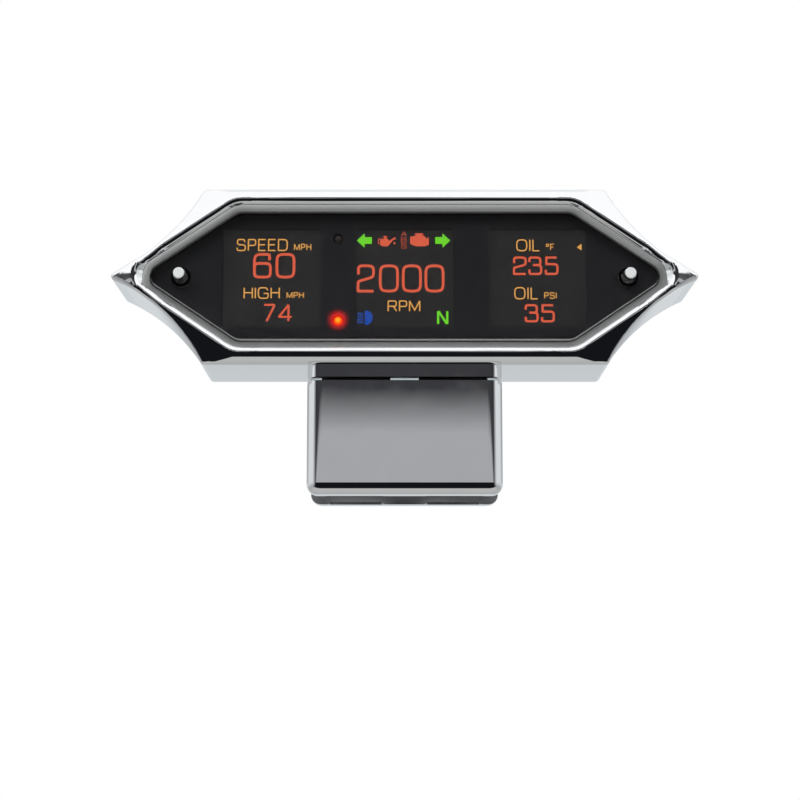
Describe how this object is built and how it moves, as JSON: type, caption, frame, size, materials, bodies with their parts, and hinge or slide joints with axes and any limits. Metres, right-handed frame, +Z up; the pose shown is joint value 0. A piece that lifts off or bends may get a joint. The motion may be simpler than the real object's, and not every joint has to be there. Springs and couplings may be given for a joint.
{
  "type": "motorcycle instrument cluster",
  "caption": "Long six-sided chrome instrument head with square displays and two push buttons behind a smoked lens, on a chrome neck that sits on a handlebar.",
  "frame": {"origin": "on the handlebar's axis, midway along the neck's saddle", "axes": "+X to the rider's right along the handlebar, +Y forward away from the rider, +Z up; the displays face -Y"},
  "size_m": [0.1886, 0.047, 0.0987],
  "materials": {
    "backlight_white": "white diffuser tray",
    "black_rubber": "moulded, matt",
    "brass_fittings": "turned, bright",
    "bright_steel_button": "bright turned",
    "capacitor_can": "satin can",
    "carrier_plastic": "moulded, fine texture",
    "chrome_casting": "polished chrome plate on a die casting",
    "circuit_board": "solder mask over laminate",
    "cover_black": "fine satin powder coat",
    "display_panel": "dark display glass",
    "flex_amber": "polyimide film",
    "lamp_red": "tinted clear lamp",
    "mask_black": "black printed sheet, satin",
    "plunger_plastic": "moulded",
    "smoked_lens": "smoked clear acrylic, polished",
    "socket_plastic": "moulded",
    "steel_fasteners": "zinc plated",
    "vent_plastic": "moulded"
  },
  "bodies": {
    "root": {"board_screws": "steel_fasteners", "board_standoffs": "brass_fittings", "button_seal_left": "black_rubber", "button_seal_right": "black_rubber", "button_spring_left": "steel_fasteners", "button_spring_right": "steel_fasteners", "display_backlight_centre": "backlight_white", "display_backlight_left": "backlight_white", "display_backlight_right": "backlight_white", "display_carrier": "carrier_plastic", "display_flex_cables": "flex_amber", "display_glass_centre": "display_panel", "display_glass_left": "display_panel", "display_glass_right": "display_panel", "face_mask": "mask_black", "flex_sockets": "socket_plastic", "harness_header": "socket_plastic", "header_pins": "brass_fittings", "housing_shell": "chrome_casting", "indicator_led_lower": "lamp_red", "indicator_led_upper": "lamp_red", "isolator_pad_left": "black_rubber", "isolator_pad_right": "black_rubber", "lens": "smoked_lens", "lens_gasket": "black_rubber", "main_board": "circuit_board", "mount_screws": "steel_fasteners", "mount_washers": "steel_fasteners", "neck": "chrome_casting", "power_capacitors": "capacitor_can", "processor_chips": "socket_plastic", "rear_cover": "cover_black", "rear_cover_gasket": "black_rubber", "rear_cover_screws": "steel_fasteners", "tact_switch_left": "socket_plastic", "tact_switch_right": "socket_plastic", "vent_plug": "vent_plastic", "voltage_regulator": "socket_plastic", "wire_grommet": "black_rubber"},
    "left_button": {"button_left": "bright_steel_button", "switch_plunger_left": "plunger_plastic"},
    "right_button": {"button_right": "bright_steel_button", "switch_plunger_right": "plunger_plastic"}
  },
  "joints": [
    {"name": "button_left_press", "type": "slide", "parent": "root", "child": "left_button", "axis": [0, 1, 0], "range_m": [0, 0.0012], "stiffness_N_per_m": 600, "deforming": ["button_spring_left"]},
    {"name": "button_right_press", "type": "slide", "parent": "root", "child": "right_button", "axis": [0, 1, 0], "range_m": [0, 0.0012], "stiffness_N_per_m": 600, "deforming": ["button_spring_right"]}
  ]
}
